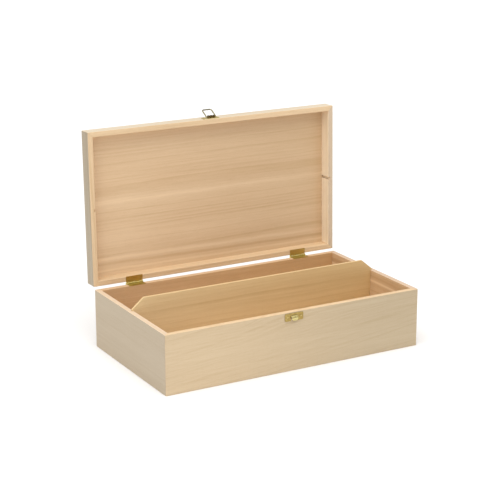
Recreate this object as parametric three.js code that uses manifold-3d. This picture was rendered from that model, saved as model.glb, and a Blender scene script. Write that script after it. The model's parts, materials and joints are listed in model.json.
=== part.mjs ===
// A wooden box for art supplies: two compartments, a hinged framed lid, a divider that lifts out
// of two grooves, a pair of brass stop hinges and a brass wire clasp.
// Millimetres. +X runs to the right along the front, +Y to the back and +Z up.
// The origin is the middle of the underside. Every piece is drawn with the lid shut; the lid's
// pieces are then turned open about the hinge axis, and the bail about its own axis.
import * as THREE from 'three';
import { mergeVertices } from 'three/addons/utils/BufferGeometryUtils.js';
import Module from 'manifold-3d';

const wasm = await Module();
wasm.setup();

// ---------------------------------------------------------------- driving dimensions

// box
const boxLength = 350;
const boxDepth = 194;
const baseHeight = 74;
const lidHeight = 19.5;
const wallThickness = 6.8;
const rebateWidth = 3.4;
const basePanelThickness = 3.2;
const lidPanelThickness = 3;
const jointGap = 0.1;
const rimGap = 0.1; // between the base's rim and the shut lid's

// divider and the grooves it stands in
const dividerThickness = 3;
const dividerRise = 14.9; // above the base's rim
const dividerEndHeight = 2; // above the base's rim, where the cut-off corners start
const dividerCornerCut = 15.5;
const grooveDepth = 2.4;
const grooveClearance = 0.4;

// hinges
const lidOpenAngle = THREE.MathUtils.degToRad(91.5);
const hingeOffset = 2.5; // from the back face to the pin's axis
const hingeCentres = { left: -119.5, right: 119.5 };
const hingeLength = 23;
const leafThickness = 0.8;
const leafSink = 0.15; // below the rim, so that the shut leaves don't touch
const leafEdgeGap = 0.15;
const knuckleCount = 5;
const knuckleRadius = 1.7;
const knuckleSideGap = 0.1;
const knuckleClearance = 0.25;
const pinRadius = 0.75;
const pinOverhang = 0.4;
const boreClearance = 0.05;
const boreWall = 0.2; // the leaf's plate stops this far outside the bore
const pinTipRadius = 0.5;
const pinTipLength = 0.25;
const stopReach = 2.9; // from the pin's axis to the tip of the stop
const stopInner = 2;
const stopRoot = 1.2;
const stopHalfGap = 0.05;
const stopThickness = 0.8;

// nails
const nailShaftRadius = 0.6;
const nailHeadRadius = 1.3;
const nailHeadHeight = 0.65;
const nailTipHeight = 1.2;
const nailClearance = 0.05;
const domeShape = [[0.92, 0.45], [0.6, 0.85]]; // shares of the head's radius and height
const hingeNailLength = 9;
const hingeNailSpacing = 13;
const claspNailLength = 5.4;

// clasp: the plate and bail on the lid, the catch on the base
const claspX = -4.5;
const claspPlateWidth = 23;
const claspPlateHeight = 8;
const claspPlateThickness = 0.7;
const claspPlateFoot = 1.2; // above the base's rim
const claspPlateNailX = 8.6;
const claspPlateNailZ = 5.2;
const plateCornerRadius = 1.5;
const barrelHeight = 3; // axis above the base's rim
const barrelOffset = 2.3; // axis out from the front face
const barrelRadius = 2.1;
const barrelHalfLength = 5;
const barrelSlots = [1.5, 2.7]; // from the middle, one slot each side
const wireRadius = 0.85;
const bailBore = 1.3;
const bailLength = 14.15;
const bailHalfWidth = 6.5;
const bailFootRadius = 1.2;
const bailCornerRadius = 2.6;
const bailEndGap = 0.5;
const bailRestAngle = THREE.MathUtils.degToRad(30); // out from the lid's front face
const catchWidth = 25;
const catchHeight = 9.5;
const catchTop = 1.3; // below the base's rim
const catchThickness = 0.8;
const catchNailX = 9.3;
const catchNailZ = 5.6;
const catchWindowTop = 4.4;
const catchWindowHalfWidth = 4.6;
const tongueHalfWidth = 4.2;
const tongueTip = 10.1; // below the base's rim
const tongueTipRadius = 3;
const tongueTipOut = 3.3; // from the base's front face
const tongueBend = [[0.4, 1.7], [0.4, 4], [3.2, 3.6], [2.9, 7.2]]; // out, and below the plate's top

// fineness of the round faces
const nailSides = 10;
const knuckleSides = 16;
const barrelSides = 12;
const quarterSegments = 4;
const bailSteps = 64;
const bendSteps = 8;

const overcut = 1; // how far a cutting tool reaches past the face it cuts
const mergeDistance = 1e-5;

// ---------------------------------------------------------------- derived places

const halfLength = boxLength / 2;
const halfDepth = boxDepth / 2;
const rim = baseHeight;
const lidRim = rim + rimGap;
const lidTop = rim + lidHeight;
const lidPanelUnderside = lidTop - lidPanelThickness;
const rebateFace = wallThickness - rebateWidth;
const grooveWidth = dividerThickness + grooveClearance;
const grooveFloor = halfLength - wallThickness + grooveDepth;
const hingeAxisY = halfDepth + hingeOffset;
const frontFace = -halfDepth;

// ---------------------------------------------------------------- solids

function toSolid(geometry) {
  const bare = geometry.clone();
  bare.deleteAttribute('normal');
  bare.deleteAttribute('uv');
  const merged = mergeVertices(bare, mergeDistance);
  const index = merged.index.array;
  const triangles = [];
  for (let i = 0; i < index.length; i += 3) {
    const [a, b, c] = [index[i], index[i + 1], index[i + 2]];
    if (a !== b && b !== c && c !== a) triangles.push(a, b, c);
  }
  return new wasm.Manifold(new wasm.Mesh({
    numProp: 3,
    vertProperties: new Float32Array(merged.attributes.position.array),
    triVerts: new Uint32Array(triangles),
  }));
}

function toGeometry(solid) {
  const mesh = solid.getMesh();
  const geometry = new THREE.BufferGeometry();
  const corners = new Float32Array(mesh.vertProperties);
  geometry.setAttribute('position', new THREE.BufferAttribute(corners, 3));
  geometry.setIndex(new THREE.BufferAttribute(new Uint32Array(mesh.triVerts), 1));
  geometry.computeVertexNormals();
  return geometry;
}

function cut(geometry, tools) {
  return toGeometry(tools.reduce((solid, tool) => solid.subtract(toSolid(tool)), toSolid(geometry)));
}

function join(pieces) {
  const [first, ...others] = pieces.map(toSolid);
  return toGeometry(others.reduce((solid, other) => solid.add(other), first));
}

function box([x0, x1], [y0, y1], [z0, z1]) {
  const geometry = new THREE.BoxGeometry(x1 - x0, y1 - y0, z1 - z0);
  return geometry.translate((x0 + x1) / 2, (y0 + y1) / 2, (z0 + z1) / 2);
}

// An outline [[a, b], ...] made solid from 0 to depth along its own third axis.
function extrude(outline, depth) {
  const shape = new THREE.Shape(outline.map(([a, b]) => new THREE.Vector2(a, b)));
  return new THREE.ExtrudeGeometry(shape, { depth, bevelEnabled: false });
}

// A tube about the X axis, from x0 to x1.
function tube(x0, x1, innerRadius, outerRadius, sides) {
  const length = x1 - x0;
  const corners = [
    [innerRadius, 0],
    [outerRadius, 0],
    [outerRadius, length],
    [innerRadius, length],
    [innerRadius, 0],
  ];
  const profile = corners.map(([r, h]) => new THREE.Vector2(r, h));
  return new THREE.LatheGeometry(profile, sides).rotateZ(-Math.PI / 2).translate(x0, 0, 0);
}

// A plate in the XZ plane with round corners, its back at y = 0 and its front at y = -thickness.
function roundedPlate(width, z0, z1, radius, thickness) {
  const [w, r] = [width / 2, radius];
  const shape = new THREE.Shape();
  shape.absarc(w - r, z1 - r, r, 0, Math.PI / 2);
  shape.absarc(-w + r, z1 - r, r, Math.PI / 2, Math.PI);
  shape.absarc(-w + r, z0 + r, r, Math.PI, Math.PI * 1.5);
  shape.absarc(w - r, z0 + r, r, Math.PI * 1.5, Math.PI * 2);
  const options = { depth: thickness, bevelEnabled: false, curveSegments: quarterSegments };
  return new THREE.ExtrudeGeometry(shape, options).rotateX(Math.PI / 2);
}

// ---------------------------------------------------------------- materials

const woodColour = 0xdcc3a0;
const dividerColour = 0xcda676;
const brassColour = 0xb59a4e;

function wood(colour = woodColour) {
  return new THREE.MeshStandardMaterial({ color: colour, roughness: 0.75, metalness: 0 });
}

function brass() {
  return new THREE.MeshStandardMaterial({ color: brassColour, roughness: 0.3, metalness: 1 });
}

function named(name, geometry, material) {
  const mesh = new THREE.Mesh(geometry, material);
  mesh.name = name;
  return mesh;
}

// ---------------------------------------------------------------- boards

// A wall board with mitred ends. The section is [[inward, z], ...], measured inward from the
// outer face; the board runs from -half to +half along X, and its outer face looks to -Y.
function mitredBoard(section, half, faceDistance) {
  const span = 2 * half;
  const board = extrude(section, span);
  const position = board.attributes.position;
  for (let i = 0; i < position.count; i += 1) {
    const inward = position.getX(i);
    const reach = half - inward - jointGap / 2;
    const along = position.getZ(i) < half ? -reach : reach;
    position.setXYZ(i, along, inward - faceDistance, position.getY(i));
  }
  return board;
}

const baseSection = [
  [0, 0],
  [rebateFace, 0],
  [rebateFace, basePanelThickness],
  [wallThickness, basePanelThickness],
  [wallThickness, rim],
  [0, rim],
];

const lidSection = [
  [0, lidRim],
  [wallThickness, lidRim],
  [wallThickness, lidPanelUnderside],
  [rebateFace, lidPanelUnderside],
  [rebateFace, lidTop],
  [0, lidTop],
];

// The four walls of a frame, by side, each turned from the front to its own side.
function frameWalls(section) {
  const long = () => mitredBoard(section, halfLength, halfDepth);
  const short = () => mitredBoard(section, halfDepth, halfLength);
  return {
    front: long(),
    right: short().rotateZ(Math.PI / 2),
    back: long().rotateZ(Math.PI),
    left: short().rotateZ(-Math.PI / 2),
  };
}

function grooveTool(side, z0, z1) {
  const inner = halfLength - wallThickness - overcut;
  const span = side === 'right' ? [inner, grooveFloor] : [-grooveFloor, -inner];
  return box(span, [-grooveWidth / 2, grooveWidth / 2], [z0, z1]);
}

function panel(z0, z1) {
  const x = halfLength - rebateFace - jointGap;
  const y = halfDepth - rebateFace - jointGap;
  return box([-x, x], [-y, y], [z0, z1]);
}

// A thin board whose upper corners are cut off, so that they clear the lid's end walls.
function divider() {
  const end = halfLength - wallThickness + grooveDepth - grooveClearance;
  const top = rim + dividerRise;
  const outline = [
    [-end, basePanelThickness],
    [end, basePanelThickness],
    [end, rim + dividerEndHeight],
    [end - dividerCornerCut, top],
    [-end + dividerCornerCut, top],
    [-end, rim + dividerEndHeight],
  ];
  const board = extrude(outline, dividerThickness).rotateX(Math.PI / 2);
  return board.translate(0, dividerThickness / 2, 0);
}

// ---------------------------------------------------------------- nails

// A nail along -Z from the plane z = 0, or the hole it needs when grown by a clearance.
function nail(length, domed, grow = 0) {
  const shaft = nailShaftRadius + grow;
  const head = nailHeadRadius + grow;
  const flat = [
    [0, -length - grow],
    [shaft, -length + nailTipHeight],
    [shaft, -nailHeadHeight - grow],
    [head, 0],
    [0, 0],
  ];
  const dome = [
    [0, -length - grow],
    [shaft, -length + nailTipHeight],
    [shaft, grow],
    [head, grow],
    ...domeShape.map(([r, h]) => [head * r, nailHeadHeight * h]),
    [0, nailHeadHeight],
  ];
  const profile = (domed ? dome : flat).map(([r, z]) => new THREE.Vector2(r, z));
  return new THREE.LatheGeometry(profile, nailSides).rotateX(Math.PI / 2);
}

// A plain hole for a nail's shaft along -Z, its mouth a little above z = 0.
function nailHole(length) {
  const depth = length + nailClearance;
  const radius = nailShaftRadius + nailClearance;
  const hole = new THREE.CylinderGeometry(radius, radius, depth + overcut, nailSides);
  return hole.rotateX(Math.PI / 2).translate(0, 0, (overcut - depth) / 2);
}

const nailMiddleY = halfDepth - wallThickness / 2;
const hingeNailXs = (x) => [x - hingeNailSpacing / 2, x + hingeNailSpacing / 2];
const baseLeafFace = rim - leafSink;
const lidLeafFace = rim + leafSink;

// Hinge nails point down into the base, or up into the lid.
function placeHingeNail(geometry, x, upper) {
  const turned = upper ? geometry.rotateX(Math.PI) : geometry;
  return turned.translate(x, nailMiddleY, upper ? lidLeafFace : baseLeafFace);
}

// Clasp nails point straight back into the front walls.
function placeClaspNail(geometry, x, z, plateThickness) {
  return geometry.rotateX(Math.PI / 2).translate(x, frontFace - plateThickness, z);
}

// ---------------------------------------------------------------- hinges

const pitch = hingeLength / knuckleCount;
const boreRadius = pinRadius + boreClearance;

function knuckleSpan(i) {
  const start = -hingeLength / 2 + pitch * i;
  return [
    start + (i > 0 ? knuckleSideGap : 0),
    start + pitch - (i < knuckleCount - 1 ? knuckleSideGap : 0),
  ];
}

// A leaf with its knuckles about the X axis. The base's leaf lies below the axis and has a stop
// lug; the lid's leaf lies above it and has a bar that lands on the lug when the lid is open.
function leaf(upper) {
  const reach = hingeOffset + wallThickness - leafEdgeGap;
  const zs = upper ? [leafSink, leafSink + leafThickness] : [-leafSink - leafThickness, -leafSink];
  const own = upper ? [1, 3] : [0, 2, 4];
  const others = upper ? [0, 2, 4] : [1, 3];
  const plate = box([-hingeLength / 2, hingeLength / 2], [-reach, -boreRadius - boreWall], zs);
  const notches = others.map((i) => {
    const [x0, x1] = knuckleSpan(i);
    return box(
      [x0 - 2 * knuckleSideGap, x1 + 2 * knuckleSideGap],
      [-knuckleRadius - knuckleClearance, 0],
      [-knuckleRadius, knuckleRadius],
    );
  });
  const nailHoles = hingeNailXs(0).map((x) => {
    const hole = nail(hingeNailLength, false, nailClearance);
    const turned = upper ? hole.rotateX(Math.PI) : hole;
    return turned.translate(x, -hingeOffset - wallThickness / 2, upper ? leafSink : -leafSink);
  });
  const pieces = [cut(plate, [...notches, ...nailHoles])];
  own.forEach((i) => pieces.push(tube(...knuckleSpan(i), boreRadius, knuckleRadius, knuckleSides)));
  const thick = [-stopThickness - stopHalfGap, -stopHalfGap];
  if (upper) {
    const [x0] = knuckleSpan(1);
    const [, x1] = knuckleSpan(3);
    pieces.push(box([x0, x1], thick, [stopInner, stopReach]));
    own.forEach((i) => pieces.push(box(knuckleSpan(i), thick, [stopRoot, stopReach])));
  } else {
    pieces.push(box(knuckleSpan(2), [stopRoot, stopReach], thick));
  }
  return join(pieces);
}

function pin() {
  const half = hingeLength / 2 + pinOverhang;
  const corners = [
    [0, -half],
    [pinTipRadius, -half],
    [pinRadius, -half + pinTipLength],
    [pinRadius, half - pinTipLength],
    [pinTipRadius, half],
    [0, half],
  ];
  const profile = corners.map(([r, h]) => new THREE.Vector2(r, h));
  return new THREE.LatheGeometry(profile, knuckleSides).rotateZ(-Math.PI / 2);
}

// The shallow recess of a leaf, right across the back wall's edge.
function mortise(x, upper) {
  const depth = leafSink + leafThickness + jointGap / 2;
  return box(
    [x - hingeLength / 2 - leafEdgeGap, x + hingeLength / 2 + leafEdgeGap],
    [halfDepth - wallThickness - overcut, halfDepth + overcut],
    upper ? [rim - overcut, rim + depth] : [rim - depth, rim + overcut],
  );
}

// ---------------------------------------------------------------- clasp

// The two holes of a clasp's plate, x either side of the middle and z above the rim.
function claspNailHoles(x, z) {
  return [-1, 1].map((side) => {
    return nailHole(claspNailLength).rotateX(Math.PI / 2).translate(side * x, 0, z);
  });
}

function claspPlate() {
  const plate = roundedPlate(
    claspPlateWidth,
    claspPlateFoot,
    claspPlateFoot + claspPlateHeight,
    plateCornerRadius,
    claspPlateThickness,
  );
  const [near, far] = barrelSlots;
  const spans = [
    [-barrelHalfLength, -far],
    [-near, near],
    [far, barrelHalfLength],
  ];
  const knuckles = spans.map(([x0, x1]) => {
    const knuckle = tube(x0, x1, bailBore, barrelRadius, barrelSides);
    return knuckle.translate(0, -barrelOffset, barrelHeight);
  });
  const holes = claspNailHoles(claspPlateNailX, claspPlateNailZ);
  return join([cut(plate, holes), ...knuckles]).translate(claspX, frontFace - jointGap / 2, rim);
}

// The wire bail, drawn straight up from its axis at the origin. Its two ends meet in the barrel.
function bail() {
  const [w, foot, corner] = [bailHalfWidth, bailFootRadius, bailCornerRadius];
  const route = new THREE.CurvePath();
  const points = (pairs) => pairs.map(([x, z]) => new THREE.Vector3(x, 0, z));
  const line = (...pairs) => route.add(new THREE.LineCurve3(...points(pairs)));
  const turn = (...pairs) => route.add(new THREE.QuadraticBezierCurve3(...points(pairs)));
  line([bailEndGap, 0], [w - foot, 0]);
  turn([w - foot, 0], [w, 0], [w, foot]);
  line([w, foot], [w, bailLength - corner]);
  turn([w, bailLength - corner], [w, bailLength], [w - corner, bailLength]);
  line([w - corner, bailLength], [corner - w, bailLength]);
  turn([corner - w, bailLength], [-w, bailLength], [-w, bailLength - corner]);
  line([-w, bailLength - corner], [-w, foot]);
  turn([-w, foot], [-w, 0], [foot - w, 0]);
  line([foot - w, 0], [-bailEndGap, 0]);
  const section = new THREE.Shape().absarc(0, 0, wireRadius, 0, Math.PI * 2);
  const options = { steps: bailSteps, extrudePath: route, curveSegments: quarterSegments };
  return new THREE.ExtrudeGeometry(section, options);
}

// The catch: a nailed plate with a tongue pressed out of it, bent over to hold the bail's bar.
function claspCatch() {
  const foot = -catchTop - catchHeight;
  const plate = roundedPlate(catchWidth, foot, -catchTop, plateCornerRadius, catchThickness);
  const holes = claspNailHoles(catchNailX, -catchNailZ);
  const window = box(
    [-catchWindowHalfWidth, catchWindowHalfWidth],
    [-catchThickness - overcut, overcut],
    [foot - overcut, -catchWindowTop],
  );
  const corners = tongueBend.map(([out, below]) => new THREE.Vector2(-out, -catchTop - below));
  const bend = new THREE.CubicBezierCurve(...corners);
  const centreLine = [...bend.getPoints(bendSteps), new THREE.Vector2(-tongueTipOut, -tongueTip)];
  const width = 2 * tongueHalfWidth;
  const tongue = stripAlong(centreLine, catchThickness, width);
  const depth = tongueTipOut + catchThickness + overcut;
  const front = roundedPlate(width, -tongueTip, tongueTipRadius, tongueTipRadius, depth);
  const shapedTongue = toGeometry(toSolid(tongue).intersect(toSolid(front)));
  return join([cut(plate, [window, ...holes]), shapedTongue]).translate(claspX, frontFace, rim);
}

// A strip of sheet metal that follows a line in the YZ plane, centred on X.
function stripAlong(line, thickness, width) {
  const offset = (side) => line.map((point, i) => {
    const before = line[Math.max(i - 1, 0)];
    const after = line[Math.min(i + 1, line.length - 1)];
    const along = after.clone().sub(before).normalize();
    return [point.x - along.y * side * thickness / 2, point.y + along.x * side * thickness / 2];
  });
  const outline = [...offset(1), ...offset(-1).reverse()];
  const strip = extrude(outline, width);
  // the outline's first axis becomes Y, its second Z and its depth X
  return strip.applyMatrix4(new THREE.Matrix4().set(
    0, 0, 1, -width / 2,
    1, 0, 0, 0,
    0, 1, 0, 0,
    0, 0, 0, 1,
  ));
}

// ---------------------------------------------------------------- assembly

const model = new THREE.Group();

// The lid's group turns about the hinge axis; its pieces keep the shut box's coordinates.
const lidHinge = new THREE.Group();
lidHinge.position.set(0, hingeAxisY, rim);
lidHinge.rotation.x = -lidOpenAngle;
const lid = new THREE.Group();
lid.position.set(0, -hingeAxisY, -rim);
lidHinge.add(lid);
model.add(lidHinge);

const baseWalls = frameWalls(baseSection);
const lidWalls = frameWalls(lidSection);

for (const side of ['left', 'right']) {
  baseWalls[side] = cut(baseWalls[side], [grooveTool(side, -overcut, rim + overcut)]);
  lidWalls[side] = cut(lidWalls[side], [grooveTool(side, rim - overcut, lidPanelUnderside)]);
}

const hingeXs = Object.values(hingeCentres);
const backNailHoles = (upper) => hingeXs.flatMap(hingeNailXs).map((x) => {
  return placeHingeNail(nailHole(hingeNailLength), x, upper);
});
const hingeCuts = (upper) => [...hingeXs.map((x) => mortise(x, upper)), ...backNailHoles(upper)];
baseWalls.back = cut(baseWalls.back, hingeCuts(false));
lidWalls.back = cut(lidWalls.back, hingeCuts(true));

const claspNails = [
  {
    piece: 'clasp_plate',
    group: lid,
    offset: claspPlateNailX,
    z: rim + claspPlateNailZ,
    out: claspPlateThickness + jointGap / 2,
  },
  {
    piece: 'clasp_catch',
    group: model,
    offset: catchNailX,
    z: rim - catchNailZ,
    out: catchThickness,
  },
];
const frontNailHoles = ({ offset, z, out }) => [-1, 1].map((side) => {
  return placeClaspNail(nailHole(claspNailLength), claspX + side * offset, z, out);
});
lidWalls.front = cut(lidWalls.front, frontNailHoles(claspNails[0]));
baseWalls.front = cut(baseWalls.front, frontNailHoles(claspNails[1]));

for (const side of ['front', 'back', 'left', 'right']) {
  model.add(named(`base_${side}_wall`, baseWalls[side], wood()));
  lid.add(named(`lid_${side}_wall`, lidWalls[side], wood()));
}
model.add(named('base_bottom_panel', panel(0, basePanelThickness), wood()));
model.add(named('divider', divider(), wood(dividerColour)));
lid.add(named('lid_top_panel', panel(lidPanelUnderside + jointGap, lidTop), wood()));

for (const [side, x] of Object.entries(hingeCentres)) {
  model.add(named(`${side}_hinge_base_leaf`, leaf(false).translate(x, hingeAxisY, rim), brass()));
  lid.add(named(`${side}_hinge_lid_leaf`, leaf(true).translate(x, hingeAxisY, rim), brass()));
  model.add(named(`${side}_hinge_pin`, pin().translate(x, hingeAxisY, rim), brass()));
  hingeNailXs(x).forEach((nailX, i) => {
    const baseNail = placeHingeNail(nail(hingeNailLength, false), nailX, false);
    const lidNail = placeHingeNail(nail(hingeNailLength, false), nailX, true);
    model.add(named(`${side}_hinge_base_nail_${i + 1}`, baseNail, brass()));
    lid.add(named(`${side}_hinge_lid_nail_${i + 1}`, lidNail, brass()));
  });
}

lid.add(named('clasp_plate', claspPlate(), brass()));
model.add(named('clasp_catch', claspCatch(), brass()));
for (const { piece, group, offset, z, out } of claspNails) {
  for (const [side, sign] of [['left', -1], ['right', 1]]) {
    const body = placeClaspNail(nail(claspNailLength, true), claspX + sign * offset, z, out);
    group.add(named(`${piece}_nail_${side}`, body.translate(0, -nailClearance, 0), brass()));
  }
}

const bailMesh = named('clasp_bail', bail(), brass());
bailMesh.position.set(claspX, frontFace - barrelOffset, rim + barrelHeight);
bailMesh.rotation.x = bailRestAngle;
lid.add(bailMesh);

export default model;
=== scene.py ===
"""The looks of a wooden art supply box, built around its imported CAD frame."""

import json
import math

import bmesh
import bpy
from mathutils import Matrix, Vector


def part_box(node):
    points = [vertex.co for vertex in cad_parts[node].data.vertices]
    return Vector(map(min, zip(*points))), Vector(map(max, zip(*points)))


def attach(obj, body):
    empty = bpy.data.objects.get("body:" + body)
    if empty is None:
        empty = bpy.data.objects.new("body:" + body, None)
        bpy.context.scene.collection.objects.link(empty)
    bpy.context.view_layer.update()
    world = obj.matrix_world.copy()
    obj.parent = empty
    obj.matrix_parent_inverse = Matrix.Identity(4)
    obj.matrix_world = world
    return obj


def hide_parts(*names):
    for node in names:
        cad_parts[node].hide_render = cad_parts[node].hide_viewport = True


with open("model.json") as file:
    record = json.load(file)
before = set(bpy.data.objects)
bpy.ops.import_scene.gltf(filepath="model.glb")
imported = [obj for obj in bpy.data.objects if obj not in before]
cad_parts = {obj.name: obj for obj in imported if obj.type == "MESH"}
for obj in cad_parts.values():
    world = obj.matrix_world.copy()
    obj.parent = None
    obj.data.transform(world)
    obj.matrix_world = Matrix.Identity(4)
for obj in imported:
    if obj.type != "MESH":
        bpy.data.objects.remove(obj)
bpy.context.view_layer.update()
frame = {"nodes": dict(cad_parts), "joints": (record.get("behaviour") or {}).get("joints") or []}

MM = 0.001

# boards, in metres
CORNER_RADIUS = 1.0 * MM
EDGE_RADIUS = 0.7 * MM
LID_EDGE_RADIUS = 1.6 * MM
REBATE_SHARE = 0.5
GROOVE_HALF_WIDTH = 1.7 * MM
GROOVE_DEPTH = 2.4 * MM
DIVIDER_SOFTNESS = 0.35 * MM

# hinges, in mm about the pin; knuckles count from 0, and the odd ones belong to the upper leaf
HINGE_LENGTH = 23.0
LEAF_THICKNESS = 0.8
LEAF_SINK = 0.15  # from the pin's axis down to the sheet
LEAF_GAP = 0.05
LEAF_CORNER = 0.6
PLATE_START = 1.0  # from the pin's axis to the sheet's near edge
KNUCKLES = 5
KNUCKLE_RADIUS = 1.7
KNUCKLE_GAP = 0.1
KNUCKLE_EDGE = 0.25
BORE_RADIUS = 0.8
BORE_EDGE = 0.05
NOTCH_CLEARANCE = 0.1
PIN_RADIUS = 0.75
PIN_OVERHANG = 0.4
PIN_EDGE = 0.3
STOP_THICKNESS = 0.8
STOP_GAP = 0.05
STOP_ROOT = 1.2  # where the stop bars start, behind the pin
STOP_INNER = 2.0  # where the bar that joins the upper two starts
STOP_REACH = 2.9  # where they all end

# nails and sheet, in mm
SHEET_SOFTNESS = 0.14
NAIL_SHAFT_RADIUS = 0.6
NAIL_HEAD_RADIUS = 1.3
NAIL_HEAD_HEIGHT = 0.65
NAIL_TIP = 1.2
HINGE_NAIL_DOME = 0.12
HINGE_NAIL_LENGTH = 9.0
CLASP_NAIL_LENGTH = 5.4
NAIL_CLEARANCE = 0.03

# clasp, in mm; the plate and barrel are measured up from the rim, and the catch down from it
CLASP_PLATE_SIZE = (23.0, 8.0)
CLASP_PLATE_THICKNESS = 0.7
CLASP_PLATE_FOOT = 1.2
CLASP_CORNER = 1.5
BARREL_HEIGHT = 3.0
BARREL_OFFSET = 2.3  # out from the wood
BARREL_RADIUS = 2.1
BARREL_HALF = 5.0
BARREL_SLOTS = (1.5, 2.7)
BAIL_BORE = 1.3
WIRE_RADIUS = 0.85
BAIL_LENGTH = 14.15  # from the barrel's axis to the bar
BAIL_HALF_WIDTH = 6.5
BAIL_FOOT = 1.2
BAIL_CORNER = 2.6
BAIL_END = 0.5  # from the middle to where a foot ends
BAIL_REST = math.radians(30)
CATCH_SIZE = (25.0, 9.5)
CATCH_TOP = 1.3
CATCH_THICKNESS = 0.8
WINDOW_TOP = 4.4
WINDOW_HALF = 4.6
TONGUE_HALF = 4.2
TONGUE_TIP = 10.1
TONGUE_TIP_OUT = 3.3  # out from the wood
TONGUE_TIP_RADIUS = 3.0
TONGUE_TIP_HALF = 0.3
TONGUE_SOFTNESS = 0.3
TONGUE_BEND = ((0.4, 1.7), (0.4, 4.0), (3.2, 3.6), (2.9, 7.2))  # (out, below the catch's top)
OVERCUT = 1.0

# how finely round things are divided
ARC_STEPS = 4
PLATE_CORNER_STEPS = 8
WIRE_CORNER_STEPS = 12
TONGUE_CORNER_STEPS = 3
TONGUE_STEPS = 16
NAIL_DOME_STEPS = 6
LATHE_SIDES = 40
WIRE_SIDES = 16

CUT_MARGIN = 1 * MM
SHARP_ANGLE = math.radians(30)
FLAT_ANGLE = math.radians(1)
WELD = 1e-6  # points of a mesh that are closer than this become one


# ---------------------------------------------------------------- places in the frame


def joint(name):
    """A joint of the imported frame, by its name."""
    return next(j for j in frame["joints"] if j["name"] == name)


# OPEN turns the lid from shut, as its pieces are drawn, to its rest pose, and SHUT turns it back
HINGE = Vector(joint("lid_hinge")["pos_m"])
OPEN_ANGLE = math.radians(joint("lid_hinge")["range_deg"][1])
OPEN = Matrix.Translation(HINGE) @ Matrix.Rotation(-OPEN_ANGLE, 4, "X") @ Matrix.Translation(-HINGE)
SHUT = OPEN.inverted()


def box_with(matrix, node):
    """The lowest and highest corners of a CAD node once a matrix has turned it."""
    points = [matrix @ v.co for v in frame["nodes"][node].data.vertices]
    low = Vector([min(p[i] for p in points) for i in range(3)])
    high = Vector([max(p[i] for p in points) for i in range(3)])
    return low, high


# ---------------------------------------------------------------- mesh tools


def piece_from(name, bm):
    """A new object that holds a finished bmesh, its faces pointing out."""
    bmesh.ops.recalc_face_normals(bm, faces=bm.faces)
    mesh = bpy.data.meshes.new(name)
    bm.to_mesh(mesh)
    bm.free()
    piece = bpy.data.objects.new(name, mesh)
    bpy.context.scene.collection.objects.link(piece)
    return piece


def rounded(outline, radii, steps=ARC_STEPS):
    """A closed outline with an arc of the given radius at each corner, 0 for a sharp one."""
    result = []
    for i, radius in enumerate(radii):
        here = Vector(outline[i])
        if radius == 0:
            result.append(here)
            continue
        before = (Vector(outline[i - 1]) - here).normalized()
        after = (Vector(outline[(i + 1) % len(outline)]) - here).normalized()
        half = before.angle(after) / 2
        centre = here + (before + after).normalized() * (radius / math.sin(half))
        start = here + before * (radius / math.tan(half)) - centre
        end = here + after * (radius / math.tan(half)) - centre
        sweep = math.pi - 2 * half
        for k in range(steps + 1):
            angle = sweep * k / steps
            arc = start * math.sin(sweep - angle) + end * math.sin(angle)
            result.append(centre + arc / math.sin(sweep))
    return result


def loft(bm, rings, wrap=False):
    """Faces between rings of points. The end rings are filled, or the last one meets the first."""
    verts = [[bm.verts.new(p) for p in ring] for ring in rings]
    pairs = list(zip(verts, verts[1:])) + ([(verts[-1], verts[0])] if wrap else [])
    for a, b in pairs:
        for i in range(len(a)):
            j = (i + 1) % len(a)
            bm.faces.new((a[i], a[j], b[j], b[i]))
    if not wrap:
        bm.faces.new(verts[0])
        bm.faces.new(verts[-1])


def box_mesh(low, high):
    """A bmesh of the box between two corners."""
    bm = bmesh.new()
    (x0, y0, z0), (x1, y1, z1) = low, high
    corners = ((x0, y0), (x1, y0), (x1, y1), (x0, y1))
    loft(bm, [[(x, y, z) for x, y in corners] for z in (z0, z1)])
    return bm


def block(name, low, high):
    """A box between two corners, to cut with."""
    return piece_from(name, box_mesh(low, high))


def lathe(name, profile):
    """A closed profile of (radius, height) turned about Z."""
    bm = bmesh.new()
    turns = [math.tau * k / LATHE_SIDES for k in range(LATHE_SIDES)]
    rings = [[(r * math.cos(turn), r * math.sin(turn), z) for r, z in profile] for turn in turns]
    loft(bm, rings, wrap=True)
    bmesh.ops.remove_doubles(bm, verts=bm.verts, dist=WELD)
    return piece_from(name, bm)


def plate(name, outline, thickness, softness):
    """A flat sheet on z = 0 with its upper rim softened."""
    bm = bmesh.new()
    loft(bm, [[(x, y, z) for x, y in outline] for z in (0, thickness)])
    rim = [e for e in bm.edges if all(v.co.z > thickness / 2 for v in e.verts)]
    bmesh.ops.bevel(bm, geom=rim, offset=softness, segments=2, profile=0.5, affect="EDGES")
    return piece_from(name, bm)


def combine(piece, others, operation):
    """Cuts others out of a piece, or joins them to it, and removes them."""
    for other in others:
        modifier = piece.modifiers.new("combine", "BOOLEAN")
        modifier.object = other
        modifier.operation = operation
        modifier.solver = "EXACT"
    graph = bpy.context.evaluated_depsgraph_get()
    mesh = bpy.data.meshes.new_from_object(piece.evaluated_get(graph))
    piece.modifiers.clear()
    piece.data = mesh
    for other in others:
        bpy.data.objects.remove(other)
    return piece


def shade_rounds(piece):
    """Shades rounded edges smooth between flat faces that stay flat."""
    bm = bmesh.new()
    bm.from_mesh(piece.data)
    for face in bm.faces:
        face.smooth = True
    for edge in bm.edges:
        edge.smooth = len(edge.link_faces) == 2 and edge.calc_face_angle(0) < SHARP_ANGLE
    bm.to_mesh(piece.data)
    bm.free()
    normals = piece.modifiers.new("normals", "WEIGHTED_NORMAL")
    normals.keep_sharp = True
    normals.weight = 100


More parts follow.
